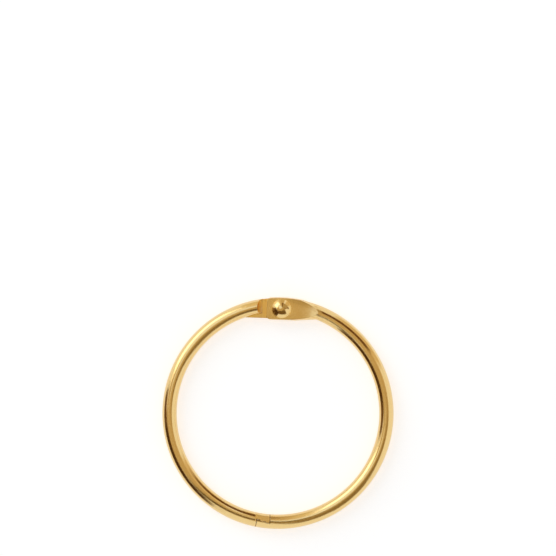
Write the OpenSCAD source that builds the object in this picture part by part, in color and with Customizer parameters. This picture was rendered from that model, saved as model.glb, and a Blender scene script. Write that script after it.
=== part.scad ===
// Hinged binder ring: two half rings of round wire, joined by a riveted fork-and-tongue hinge at the top
// and closed by a hooked half lap near the foot. It lies flat, with the hinge towards +Y.

/* [Ring] */
// Outside diameter of the closed ring
ring_od = 50; // [38:1:76]
// Diameter of the round wire
wire_d = 3.2; // [2.6:0.1:4]

/* [Fork] */
// Width of the flattened fork, across the wire
fork_w = 5; // [4.6:0.1:5.6]
// How far the fork's outer edge stands proud of the ring's outside
fork_proud = 0.1; // [0:0.05:0.3]
// Thickness of each of the fork's two plates
plate_t = 0.75; // [0.5:0.05:1]
// Reach of the plates past the hinge axis
fork_reach = 3.2; // [2.8:0.1:4.2]
// Distance from the hinge axis to where the full-width fork ends
fork_root = 3.5; // [3.3:0.1:4.6]
// Length of the neck, over which the fork narrows to the round wire
neck_l = 4.4; // [3.6:0.1:5.6]
// Radius on the corners of the plates' free end
fork_corner_r = 1; // [0.2:0.1:1.2]
// Radius on the edge of the press tool, where the round wire rises from the flat faces on a slant
press_r = 1.5; // [0.8:0.1:3]

/* [Tongue] */
// Thickness of the tongue between the plates
tongue_t = 0.9; // [0.6:0.05:1.1]
// Width of the tongue, which is rounded about the hinge axis
tongue_w = 4.3; // [3.6:0.1:4.5]
// Gap between the tongue and each plate
side_gap = 0.05; // [0.02:0.01:0.1]
// Gap between the swing of the fork's corners and the tongue's ramp
ramp_gap = 0.6; // [0.1:0.05:1]
// Radius of that hollow ramp, which the press leaves between the tongue and the crest of the wire
ramp_r = 1.6; // [1.3:0.1:2.4]

/* [Rivet] */
// Diameter of the rivet's shank
rivet_d = 2; // [1.4:0.1:2.4]
// Diameter of the rivet's domed heads
head_d = 4.2; // [3.4:0.1:4.5]
// Height of the domed heads
head_h = 0.95; // [0.5:0.05:1.2]
// Radial play of the shank in the tongue's hole
rivet_play = 0.05; // [0.02:0.01:0.1]
// Radial play of the shank in the fork's holes, where the rivet is tight
rivet_seat = 0.01; // [0.01:0.01:0.03]

/* [Closure] */
// Angle from the foot of the ring to the middle of the lap
lap_at = 6.5; // [0:0.5:20]
// Length of the lap along the wire
lap_l = 2.9; // [2.4:0.1:4]
// Depth of the hooks
hook_depth = 0.35; // [0.2:0.05:0.5]
// Length of each hook's crest
hook_l = 0.7; // [0.5:0.05:0.8]
// Run of each hook's sloping flank
hook_ramp = 0.25; // [0.1:0.05:0.3]
// Lead-in chamfer on the tip of each hook
hook_lead = 0.12; // [0.05:0.01:0.2]
// Clearance between the two hooked faces
lap_fit = 0.06; // [0.04:0.01:0.1]
// Gap at each end of the lap, where the ends of the two halves meet
end_gap = 0.14; // [0.06:0.02:0.2]
// Lean of the faces along that gap, which form a shallow V and keep the halves in line sideways
end_lean = 10; // [6:1:15]
// Depth of the pressed land on the inner lap
land_depth = 0.14; // [0.05:0.01:0.25]
// Tilt of that land towards the ring's centre
land_tilt = 22; // [0:1:40]

/* [Hidden] */
$fn = 96;

gold = [0.83, 0.65, 0.34];
rivet_gold = [0.88, 0.70, 0.38];

wire_r = wire_d / 2;
ring_r = ring_od / 2 - wire_r;              // radius of the wire's centreline
inner_r = ring_r - wire_r;
pivot_y = ring_od / 2 + fork_proud - fork_w / 2;
slot_t = tongue_t + 2 * side_gap;
flat_z = slot_t / 2 + plate_t;              // from the ring's middle plane to the fork's flat faces
mid_z = flat_z + head_h;                    // height of the middle plane when the ring lies on its rivet

chord_y = pivot_y - fork_w / 2;             // the fork's straight inner edge, which is a chord of the ring
neck_x = fork_root + neck_l;
neck_end = [neck_x, sqrt(ring_r * ring_r - neck_x * neck_x)];
sunk = 0.05;                                // how far an end or a foot that is hidden lies under the skin
neck_fair = 0.6;                            // how far either side of the root the neck's taper blends in
neck_grow = 0.1;                            // how far that taper lies outside the full-width fork at its start

slot_past = 0.1;                            // how far the slot runs past the fork's root, for the tongue's swing
slot_end = fork_root + slot_past;
fork_out_r = ring_od / 2 + fork_proud;      // radius of the fork's outer edge, which runs round with the ring
corner_past = 0.02;                         // how far its corner's circle passes that edge, to cross it cleanly
edge_land = 0.05;                           // height of the square edge that the press leaves beside the slot
edge_past = 0.5;                            // how far past the fork's middle line each side's rounding has its centre

// The tongue's ramp is a hollow arc. At the level of the plates' inner faces it clears the swing of the
// fork's corners, and its lowest line lies a hair under the tongue's face.
swing = norm([fork_reach - fork_corner_r, fork_w / 2 - fork_corner_r]) + fork_corner_r;
function ramp_run(rise) = sqrt(ramp_r * ramp_r - pow(ramp_r - sunk - rise, 2));
ramp_x = swing + ramp_gap - ramp_run(side_gap);
ramp_foot = ramp_x + ramp_run(0);

over = 1;                                   // how far a cutter passes the faces it cuts
past_deg = 2;                               // how far a stretch of wire runs past the cut that ends it
reach = wire_d + fork_w;                    // half width of a cutter that spans the wire

// A stretch of the wire, from one angle to another, counted anticlockwise from +X.
module wire(from, to) {
    rotate([0, 0, from])
        rotate_extrude(angle = to - from)
            translate([ring_r, 0]) circle(r = wire_r);
}

// A round bar that lies in the ring's plane, from one point of it to another. It may taper, and it may
// start further back than its first point, on the same taper.
module tapered_bar(from, to, r_from, r_to, back = 0) {
    run = to - from;
    grow = (r_from - r_to) / norm(run);
    translate([from.x, from.y, 0])
        rotate([0, 0, atan2(run.y, run.x)])
            rotate([0, 90, 0])
                translate([0, 0, -back])
                    cylinder(r1 = r_from + back * grow, r2 = r_to, h = norm(run) + back);
}

// What lies outside two faces that mirror each other across the middle plane. Its child is the outline of
// what lies outside the front one, with X across the line that the faces follow and Y along the ring's Z.
// The line passes through a point of the ring's plane, and runs along Y unless it is turned.
module both_faces(at, turn = 0) {
    for (side = [0, 1])
        mirror([0, 0, side])
            translate([at.x, at.y, 0])
                rotate([90, 0, turn])
                    translate([0, 0, -2 * reach])
                        linear_extrude(4 * reach)
                            children();
}

// The frame of the lap: its middle, with +X along the way the two halves slide apart and +Y inwards.
// Its faces lie square to the line from the hinge, so the halves pass each other as they turn.
lap_mid = [-ring_r * sin(lap_at), -ring_r * cos(lap_at)];
lap_turn = atan2(-lap_mid.x, pivot_y - lap_mid.y);

module at_lap() {
    translate([lap_mid.x, lap_mid.y, 0])
        rotate([0, 0, -lap_turn])
            children();
}

// What is cut from the wire of the right half to leave its outer lap and hook.
// Turned half round and leant the other way, the same cut leaves the inner lap and hook of the left half.
module lap_cut(lean) {
    half = lap_l / 2;
    fit = lap_fit / 2;
    gap = end_gap / 2;
    flank = norm([hook_ramp, hook_depth]);
    slip = fit * (flank - hook_ramp) / hook_depth;
    far = half + 2 * over;
    for (side = [0, 1])
        mirror([0, 0, side])
            intersection() {
                rotate([0, lean, 0])
                    translate([0, 0, -reach])
                        linear_extrude(2 * reach)
                            scale([cos(lean), 1])
                                polygon([
                                    [half + gap, reach],
                                    [half + gap, -hook_depth - fit],
                                    [half - hook_l - slip, -hook_depth - fit],
                                    [half - hook_l - hook_ramp - slip, -fit],
                                    [-half + hook_l + hook_ramp - slip, -fit],
                                    [-half + hook_l - slip, hook_depth - fit],
                                    [-half + gap + hook_lead, hook_depth - fit],
                                    [-half + gap, hook_depth - fit - hook_lead],
                                    [-half + gap, -reach],
                                    [-far, -reach],
                                    [-far, reach],
                                ]);
                translate([-2 * far, -2 * reach, 0])
                    cube([4 * far, 4 * reach, reach]);
            }
}

lap_spread = (lap_l / 2 + over) / ring_r * 180 / PI;
lap_angle = 270 - lap_at;

module fork_half() {
    color(gold)
        translate([0, 0, mid_z])
            difference() {
                union() {
                    wire(lap_angle - lap_spread - 360, 90 - asin((fork_root + neck_fair) / ring_r));
                    fork_blank();
                }
                fork_flats();
                fork_slot();
                rivet_hole(rivet_seat);
                at_lap() lap_cut(end_lean);
            }
}

// The wire's end, spread by the press: full width at the hinge, tapering back into the round wire. Its outer
// side runs round with the ring, and its inner side is straight.
module fork_blank() {
    edge_r = norm([fork_w / 2 + edge_past, slot_t / 2 + edge_land]);
    bar_y = pivot_y + edge_past;
    intersection() {
        tapered_bar([-fork_reach, bar_y], [neck_end.x + over, bar_y], edge_r, edge_r);
        rotate_extrude() translate([pivot_y - edge_past, 0]) circle(r = edge_r);
        tapered_bar([fork_root - neck_fair, pivot_y], neck_end, fork_w / 2 + neck_grow, wire_r - sunk,
                    fork_w + fork_reach);
        fork_plan();
    }
}

// The outline of the plates seen from the front, with rounded corners at the free end.
module fork_plan() {
    r = fork_corner_r;
    corner_x = -fork_reach + r;
    corner_y = sqrt(pow(fork_out_r - r, 2) - corner_x * corner_x) + corner_past;
    translate([0, 0, -fork_w])
        linear_extrude(2 * fork_w)
            intersection() {
                circle(r = fork_out_r);
                union() {
                    translate([corner_x, corner_y]) circle(r = r);
                    translate([corner_x, chord_y + r]) circle(r = r);
                    translate([-fork_reach, chord_y + r]) square([2 * reach, corner_y - chord_y - r]);
                    translate([corner_x, chord_y]) square([2 * reach, 2 * fork_w]);
                }
            }
}

// The plates' flat faces. They run out gently along the ring, and on the outside the press tool's edge ends
// them on a slant, from the outer corner of the fork's root to the neck's end.
module fork_flats() {
    run_out = neck_end.x - fork_root;
    rise = wire_r - flat_z;
    tool_r = (run_out * run_out / rise + rise) / 2;
    corner = [fork_root, sqrt(fork_out_r * fork_out_r - fork_root * fork_root)];
    slant = atan2(neck_end.x - corner.x, corner.y - neck_end.y);
    intersection() {
        both_faces([fork_root, pivot_y]) {
            translate([0, flat_z + tool_r]) circle(r = tool_r);
            translate([-2 * reach, flat_z]) square([2 * reach, tool_r]);
        }
        both_faces(corner, slant) {
            translate([0, flat_z + press_r]) circle(r = press_r);
            translate([-2 * reach, flat_z]) square([2 * reach, reach]);
        }
    }
}

module fork_slot() {
    translate([-fork_reach - over, pivot_y - reach, -slot_t / 2])
        cube([fork_reach + over + slot_end, 2 * reach, slot_t]);
}

module rivet_hole(play) {
    translate([0, pivot_y, -flat_z - over])
        cylinder(d = rivet_d + 2 * play, h = 2 * (flat_z + over));
}

module tongue_half() {
    color(gold)
        translate([0, 0, mid_z])
            difference() {
                union() {
                    difference() {
                        wire(90 + asin(ramp_foot / ring_r) - past_deg, lap_angle + lap_spread);
                        tongue_ramps();
                    }
                    tongue();
                }
                rivet_hole(rivet_play);
                at_lap() {
                    rotate([0, 0, 180]) lap_cut(-end_lean);
                    lap_lands();
                }
            }
}

// The hollow ramps from the tongue's faces up to the crest of the wire, and all that lies past their feet.
module tongue_ramps() {
    both_faces([0, pivot_y]) {
        translate([-ramp_x, tongue_t / 2 - sunk + ramp_r]) {
            circle(r = ramp_r);
            translate([-ramp_r, 0]) square([ramp_r, reach]);
        }
        translate([-ramp_foot, 0]) square([ramp_foot + reach, reach]);
    }
}

// The pressed tongue. Its inner edge runs on along the wire until the ring curves past it, and its outer
// edge keeps inside the ring's outline.
module tongue() {
    inner_y = pivot_y - tongue_w / 2;
    root = sqrt(inner_r * inner_r - inner_y * inner_y);
    translate([0, 0, -tongue_t / 2]) {
        intersection() {
            union() {
                translate([0, pivot_y, 0]) cylinder(d = tongue_w, h = tongue_t);
                translate([-ramp_foot - 2 * sunk, inner_y, 0])
                    cube([ramp_foot + 2 * sunk, tongue_w, tongue_t]);
            }
            cylinder(r = ring_od / 2 - 2 * sunk, h = tongue_t);
        }
        translate([-root - over, inner_y, 0])
            cube([root + over, wire_r, tongue_t]);
    }
}

// The lands pressed on both faces of the inner lap, tilted towards the ring's centre.
module lap_lands() {
    for (side = [0, 1])
        mirror([0, 0, side])
            translate([-lap_l / 2, 0, 0])
                rotate([-land_tilt, 0, 0])
                    translate([0, -reach, wire_r - land_depth])
                        cube([lap_l + over, 2 * reach, over]);
}

module hinge_rivet() {
    dome_r = (head_d * head_d / 4 + head_h * head_h) / (2 * head_h);
    color(rivet_gold)
        translate([0, pivot_y, mid_z])
            rotate_extrude() {
                translate([0, -flat_z]) square([rivet_d / 2, 2 * flat_z]);
                for (side = [0, 1])
                    mirror([0, side])
                        intersection() {
                            translate([0, flat_z + head_h - dome_r]) circle(r = dome_r);
                            translate([0, flat_z]) square([head_d / 2, head_h]);
                        }
            }
}

fork_half();
tongue_half();
hinge_rivet();
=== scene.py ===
"""A hinged binder ring of gold-plated wire, lying closed on a white table and seen from straight above."""

import math

import bpy
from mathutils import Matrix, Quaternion, Vector


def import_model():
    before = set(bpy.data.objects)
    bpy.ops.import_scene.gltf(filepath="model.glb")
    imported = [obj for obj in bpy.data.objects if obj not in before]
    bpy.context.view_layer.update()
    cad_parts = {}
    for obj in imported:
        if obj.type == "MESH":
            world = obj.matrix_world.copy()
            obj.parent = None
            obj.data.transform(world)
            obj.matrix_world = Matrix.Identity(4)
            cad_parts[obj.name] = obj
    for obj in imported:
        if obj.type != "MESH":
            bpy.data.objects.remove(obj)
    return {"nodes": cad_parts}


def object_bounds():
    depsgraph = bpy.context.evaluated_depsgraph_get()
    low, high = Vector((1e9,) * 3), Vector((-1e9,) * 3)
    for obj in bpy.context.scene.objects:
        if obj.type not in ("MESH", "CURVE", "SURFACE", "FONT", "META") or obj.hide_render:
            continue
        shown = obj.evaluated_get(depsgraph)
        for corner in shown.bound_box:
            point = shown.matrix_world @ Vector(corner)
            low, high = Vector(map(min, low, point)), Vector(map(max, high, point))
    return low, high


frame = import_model()
cad_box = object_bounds()
nodes = frame["nodes"]

lo, hi = cad_box
RING_OD = hi.x - lo.x
MIDDLE_Z = (lo.z + hi.z) / 2
CENTRE = Vector((0, 0, MIDDLE_Z))


# ---------------------------------------------------------------- node helpers
class Tree:
    """Short calls for building a node tree."""

    def __init__(self, tree):
        self.tree = tree
        tree.nodes.clear()

    def add(self, kind, inputs=None, **settings):
        """A new node. Each of its inputs takes a value or another node's output."""
        node = self.tree.nodes.new(kind)
        for name, value in settings.items():
            setattr(node, name, value)
        for socket, source in (inputs or {}).items():
            self.put(node.inputs[socket], source)
        return node

    def put(self, socket, source):
        """Sets an input to a value, or links it to another node's output."""
        if hasattr(source, "is_output"):
            self.tree.links.new(source, socket)
        else:
            socket.default_value = source

    def math(self, operation, *sources):
        node = self.tree.nodes.new("ShaderNodeMath")
        node.operation = operation
        for socket, source in zip(node.inputs, sources):
            self.put(socket, source)
        return node.outputs[0]

    def mix(self, factor, first, second):
        """A colour between two, each a node's output or a plain colour."""
        node = self.add("ShaderNodeMix", {"Factor": factor}, data_type="RGBA")
        for name, colour in (("A", first), ("B", second)):
            self.put(node.inputs[name], colour if hasattr(colour, "is_output") else (*colour, 1))
        return node.outputs["Result"]

    def bump(self, height, strength, depth, normal):
        """A normal that is bumped once more."""
        node = self.add("ShaderNodeBump", {
            "Height": height, "Strength": strength, "Distance": depth, "Normal": normal,
        })
        return node.outputs[0]


# ---------------------------------------------------------------- materials
# Lengths are in metres.
GOLD = (0.84, 0.60, 0.24)
TARNISH = (0.93, 0.86, 0.70)     # what the duller clouds in the plating leave of its colour
JOINT_SHADE_GOLD = (0.92, 0.58, 0.12)   # painted in the joints: the shade there, and the gold's reflection of itself where walls stand close
PALE_GOLD = (0.90, 0.78, 0.52)   # on rubbed edges

EDGE_RADIUS = 0.00006            # of the soft edges
JOINT_REACH = 0.0021             # how near a wall makes a place count as part of a joint
LINE_SPREAD = 900                # the lines' noise: units per metre across the wire, one per radian along
LINE_DEPTH, WAVE_DEPTH, PIT_DEPTH = 0.00002, 0.00012, 0.00001
WAVE_SCALE, CLOUD_SCALE, PIT_SCALE = 260, 700, 1500    # per metre


def drawing_lines(t, place):
    """Fine lines that run round the ring, as the wire was drawn."""
    x, y, z = t.add("ShaderNodeSeparateXYZ", {0: place}).outputs
    radius = t.math("SQRT", t.math("ADD", t.math("MULTIPLY", x, x), t.math("MULTIPLY", y, y)))
    along = t.add("ShaderNodeCombineXYZ", {
        0: t.math("ARCTAN2", y, x),
        1: t.math("MULTIPLY", radius, LINE_SPREAD),
        2: t.math("MULTIPLY", z, LINE_SPREAD),
    })
    lines = t.add("ShaderNodeTexNoise", {
        "Vector": along.outputs[0], "Scale": 6, "Detail": 3, "Roughness": 0.6,
    })
    return lines.outputs["Fac"]


def joint_shade_mask(t):
    """0 in the open to 1 where walls stand close by, as in the hinge and between the laps: the mask for
    the painted shade and reflection in the joints.
    """
    open_side = t.add("ShaderNodeAmbientOcclusion", {"Distance": JOINT_REACH}, samples=12)
    joint_shade = t.add("ShaderNodeMapRange", {
        "Value": open_side.outputs["AO"], "From Min": 0.97, "From Max": 0.84,
    })
    return joint_shade.outputs[0]


def edges(t, soft_normal):
    """0 on a face to 1 on an edge, where the softened shade turns away from the face's own."""
    true_normal = t.add("ShaderNodeNewGeometry").outputs["Normal"]
    facing = t.add("ShaderNodeVectorMath", {0: soft_normal, 1: true_normal}, operation="DOT_PRODUCT")
    edge = t.add("ShaderNodeMapRange", {
        "Value": facing.outputs["Value"], "From Min": 0.995, "From Max": 0.90,
    })
    return edge.outputs[0]


def plating(name, roughness, grain):
    """Polished gold plating with drawing lines, waves from bending, cloudy tarnish, pits and rubbed edges,
    and a painted shade and reflection in the joints.

    The grain is the strength of the drawing lines.
    """
    material = bpy.data.materials.new(name)
    material.use_nodes = True
    t = Tree(material.node_tree)
    out = t.add("ShaderNodeOutputMaterial")
    shader = t.add("ShaderNodeBsdfPrincipled")
    t.put(out.inputs["Surface"], shader.outputs[0])

    place = t.add("ShaderNodeTexCoord").outputs["Object"]
    waves = t.add("ShaderNodeTexNoise", {
        "Vector": place, "Scale": WAVE_SCALE, "Detail": 2, "Roughness": 0.5,
    })
    clouds = t.add("ShaderNodeTexNoise", {
        "Vector": place, "Scale": CLOUD_SCALE, "Detail": 4, "Roughness": 0.6,
    }).outputs["Fac"]
    specks = t.add("ShaderNodeTexVoronoi", {"Vector": place, "Scale": PIT_SCALE, "Randomness": 1})
    pits = t.add("ShaderNodeMapRange", {
        "Value": specks.outputs["Distance"], "From Min": 0.04, "From Max": 0.14,
    })
    joint_shade = joint_shade_mask(t)
    soft = t.add("ShaderNodeBevel", {"Radius": EDGE_RADIUS}, samples=6).outputs[0]
    rubbed = t.math("MULTIPLY", edges(t, soft), t.math("GREATER_THAN", clouds, 0.47))

    dull = [c * left for c, left in zip(GOLD, TARNISH)]
    tint = t.mix(t.math("MULTIPLY", clouds, 0.35), GOLD, dull)
    # Painted shade and reflection: places close to walls in the joints turn a deeper gold.
    tint = t.mix(t.math("MULTIPLY", joint_shade, 0.8), tint, JOINT_SHADE_GOLD)
    tint = t.mix(t.math("MULTIPLY", rubbed, 0.5), tint, PALE_GOLD)
    t.put(shader.inputs["Base Color"], tint)
    shader.inputs["Metallic"].default_value = 1

    rough = t.add("ShaderNodeMapRange", {
        "Value": clouds, "From Min": 0.3, "From Max": 0.7,
        "To Min": roughness * 0.8, "To Max": roughness * 1.35,
    })
    t.put(shader.inputs["Roughness"], t.math("ADD", rough.outputs[0], t.math("MULTIPLY", joint_shade, 0.32)))
    shader.inputs["Coat Weight"].default_value = 1
    shader.inputs["Coat Roughness"].default_value = 0.08
    shader.inputs["Coat IOR"].default_value = 1.5

    normal = t.bump(drawing_lines(t, place), grain, LINE_DEPTH, soft)
    normal = t.bump(waves.outputs["Fac"], 0.15, WAVE_DEPTH, normal)
    normal = t.bump(pits.outputs[0], 0.25, PIT_DEPTH, normal)
    t.put(shader.inputs["Normal"], normal)
    return material


def dress(node, material):
    """Gives a part of the ring its material."""
    mesh = nodes[node].data
    mesh.materials.clear()
    mesh.materials.append(material)


wire_gold = plating("gold_wire", 0.16, 0.12)
dress("fork_half", wire_gold)
dress("tongue_half", wire_gold)
dress("hinge_rivet", plating("gold_rivet", 0.12, 0.04))


# ---------------------------------------------------------------- table and light
TABLE_SIZE = 120                 # in ring diameters


def seen_rays(t):
    """1 on the rays that show the background: those from the camera, in a reflection or through glass."""
    path = t.add("ShaderNodeLightPath").outputs
    bounced = t.math("MAXIMUM", path["Is Glossy Ray"], path["Is Transmission Ray"])
    return t.math("MAXIMUM", path["Is Camera Ray"], bounced)


def shine(name, colour):
    """A material that only shines."""
    material = bpy.data.materials.new(name)
    material.use_nodes = True
    t = Tree(material.node_tree)
    out = t.add("ShaderNodeOutputMaterial")
    glow = t.add("ShaderNodeEmission", {"Color": (*colour, 1), "Strength": 1.0})
    t.put(out.inputs["Surface"], glow.outputs[0])
    return material


def table():
    """White paper that keeps the ring's shadow and shines a little itself, so that it shows as white."""
    bpy.ops.mesh.primitive_plane_add(size=TABLE_SIZE * RING_OD, location=(0, 0, 0))
    floor = bpy.context.object
    floor.name = "table"
    material = bpy.data.materials.new("white_table")
    material.use_nodes = True
    t = Tree(material.node_tree)
    out = t.add("ShaderNodeOutputMaterial")
    paper = t.add("ShaderNodeBsdfDiffuse", {"Color": (0.8, 0.8, 0.8, 1)})
    strength = t.math("MULTIPLY", seen_rays(t), 0.60)
    glow = t.add("ShaderNodeEmission", {"Color": (1, 1, 1, 1), "Strength": strength})
    both = t.add("ShaderNodeAddShader", {0: paper.outputs[0], 1: glow.outputs[0]})
    t.put(out.inputs["Surface"], both.outputs[0])
    floor.data.materials.append(material)


def world():
    """A room that shows as white, but gives the table only 0.4 of a white room's light."""
    made = bpy.data.worlds.new("studio")
    bpy.context.scene.world = made
    made.use_nodes = True
    t = Tree(made.node_tree)
    out = t.add("ShaderNodeOutputWorld")
    strength = t.math("ADD", t.math("MULTIPLY", seen_rays(t), 0.6), 0.4)
    back = t.add("ShaderNodeBackground", {"Color": (1, 1, 1, 1), "Strength": strength})
    t.put(out.inputs["Surface"], back.outputs[0])


# Lamps and cards are placed from the middle of the ring. Their lengths are in ring diameters and their
# angles in degrees: a turn is measured round from +X, a rise up from the table.
def towards(turn, rise, distance):
    """The point that lies that way from the ring's middle."""
    a, e = math.radians(turn), math.radians(rise)
    way = Vector((math.cos(a) * math.cos(e), math.sin(a) * math.cos(e), math.sin(e)))
    return CENTRE + distance * RING_OD * way


def face(obj, place, aim, spin=0):
    """Puts a lamp or card in its place, turned towards a point and unseen by the camera."""
    obj.location = place
    turned = (aim - place).to_track_quat("-Z", "Y")
    obj.rotation_euler = (turned @ Quaternion((0, 0, 1), math.radians(spin))).to_euler()
    obj.visible_camera = False


def softbox(name, place, width, height, level):
    """A lamp of that size, as bright as level times white paper."""
    lamp = bpy.data.lights.new(name, "AREA")
    lamp.shape = "RECTANGLE"
    lamp.size, lamp.size_y = width * RING_OD, height * RING_OD
    lamp.energy = level * lamp.size * lamp.size_y * math.pi
    obj = bpy.data.objects.new(name, lamp)
    bpy.context.scene.collection.objects.link(obj)
    face(obj, place, CENTRE)


def card(name, place, width, height, colour, aim, spin=0):
    """A card of that size, which shows only in reflections."""
    bpy.ops.mesh.primitive_plane_add(size=1)
    obj = bpy.context.object
    obj.name = name
    obj.scale = (width * RING_OD, height * RING_OD, 1)
    face(obj, place, aim, spin)
    obj.data.materials.append(shine(name, colour))
    obj.visible_diffuse = False
    obj.visible_shadow = False


def standing_card(name, turn, distance, bottom, top, width, colour):
    """A card that stands upright beside the ring. Its bottom and top are measured from the table."""
    place = towards(turn, 0, distance)
    place.z = (bottom + top) / 2 * RING_OD
    card(name, place, width, top - bottom, colour, aim=Vector((0, 0, place.z)))


def hung_card(name, turn, start, end, width, height, colour, spin=None):
    """A card that hangs level over the ring and runs outwards from start to end, or as it is spun."""
    place = towards(turn, 0, (start + end) / 2) + Vector((0, 0, height * RING_OD))
    spin = turn if spin is None else spin
    card(name, place, end - start, width, colour, aim=place - Vector((0, 0, 1)), spin=spin)


BROWN = Vector((0.10, 0.045, 0.012))
OLIVE = Vector((0.29, 0.21, 0.10))
TAN = Vector((0.62, 0.48, 0.27))
SAND = Vector((0.78, 0.63, 0.40))

table()
world()

# A large lamp and a cool glow give the bright bands, and a tan ceiling gives the wire's crest.
softbox("softbox_left", towards(140, 40, 24), 15, 19, 1.33)
hung_card("glow_left", 131, 2, 16, 7.6, 16, Vector((1.0, 1.06, 1.16)))
hung_card("ceiling", 180, -14.4, 17.6, 18, 20, TAN)

# Pale walls tone down the bands on the far and right sides.
standing_card("wall_back", 86, 8, 0, 22, 4, Vector((0.66, 0.52, 0.31)))
standing_card("wall_side", 105, 8.4, 0, 22, 2, Vector((0.80, 0.68, 0.46)))
standing_card("wall_right", 42, 8.4, 0, 16, 5.2, SAND)

# Dark flags, and a boom with its arm, draw the dark lines along the wire.
standing_card("flag_left", 211, 10, -0.6, 12, 10, BROWN * 0.8)
standing_card("flag_side", 181, 10, -0.6, 8.4, 3.2, BROWN * 1.6)
standing_card("flag_right", 62, 0.7, 0.3, 1.2, 0.72, BROWN * 1.5)
hung_card("boom", 311, 1.28, 10.8, 3.6, 5.6, OLIVE)
hung_card("boom_side", 288, 2.2, 7, 1.8, 5.7, OLIVE * 1.07)
hung_card("arm", 239, 0.16, 1.56, 0.3, 1.4, OLIVE * 0.41, spin=213)

# Two small cards close over the hinge show in the rivet's dome.
hung_card("low_bar", 88, 0.26, 0.396, 0.21, 0.16, Vector((0.18, 0.11, 0.04)))
hung_card("low_tan", 78, 0.476, 0.60, 0.18, 0.16, TAN * 0.8)


# ---------------------------------------------------------------- camera
# The camera looks straight down from a point behind the ring's middle, so the ring lies low in the frame.
FRAME_WIDTH = 2.4 * RING_OD
BEHIND = 0.5841 * RING_OD
ROLL = math.radians(2)

camera_data = bpy.data.cameras.new("camera")
camera_data.lens, camera_data.sensor_width = 200, 36
camera_data.clip_start, camera_data.clip_end = 0.01, 20
camera = bpy.data.objects.new("camera", camera_data)
bpy.context.scene.collection.objects.link(camera)
distance = FRAME_WIDTH * camera_data.lens / camera_data.sensor_width
camera.location = (-BEHIND * math.sin(ROLL), BEHIND * math.cos(ROLL), MIDDLE_Z + distance)
camera.rotation_euler = (0, 0, ROLL)
bpy.context.scene.camera = camera
bpy.context.scene.view_settings.view_transform = "Standard"
